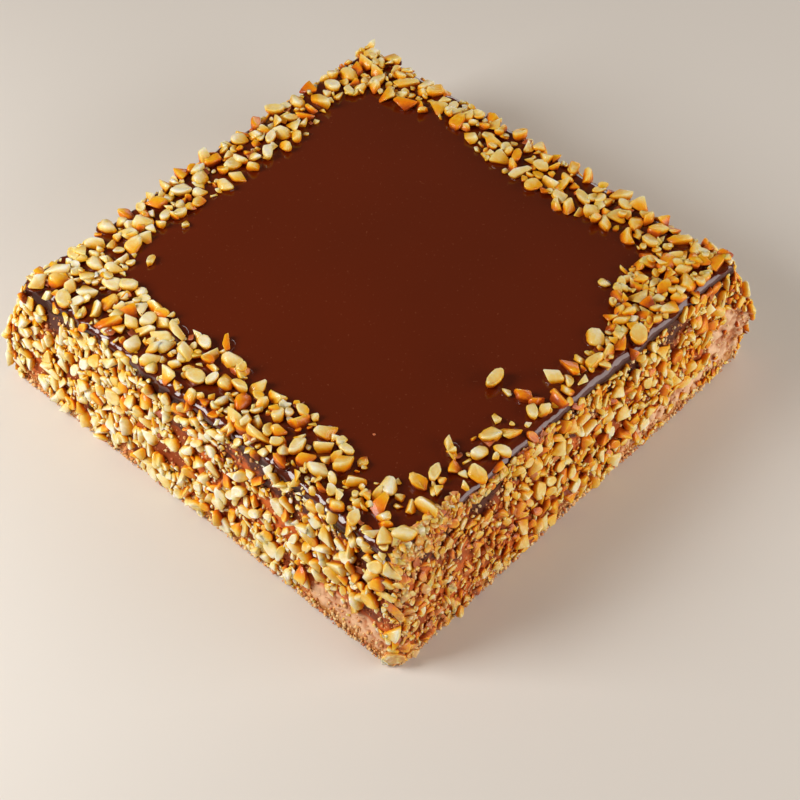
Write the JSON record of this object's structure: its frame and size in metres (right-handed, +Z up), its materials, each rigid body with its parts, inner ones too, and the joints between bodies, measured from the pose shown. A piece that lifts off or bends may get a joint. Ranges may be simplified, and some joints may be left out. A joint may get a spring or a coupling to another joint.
{
  "type": "fudge nut cake",
  "caption": "Square frosted cake with chopped peanuts pressed over its sloping sides, under a poured chocolate fudge topping that rolls over the edge and carries a border of chopped peanuts",
  "frame": {"origin": "middle of the cake's flat base", "axes": "+Z up; -Y is the face that shows at the left of the picture and +X the face that shows at its right"},
  "size_m": [0.2539, 0.2542, 0.0685],
  "materials": {
    "frosting": "soft cream frosting with chopped peanuts",
    "fudge": "glossy poured fudge with chopped peanuts",
    "peanuts": "chopped roasted peanuts, satin outside and matt where they are cut"
  },
  "bodies": {
    "root": {"frosted_cake": "frosting", "fudge_topping": "fudge"}
  },
  "joints": []
}
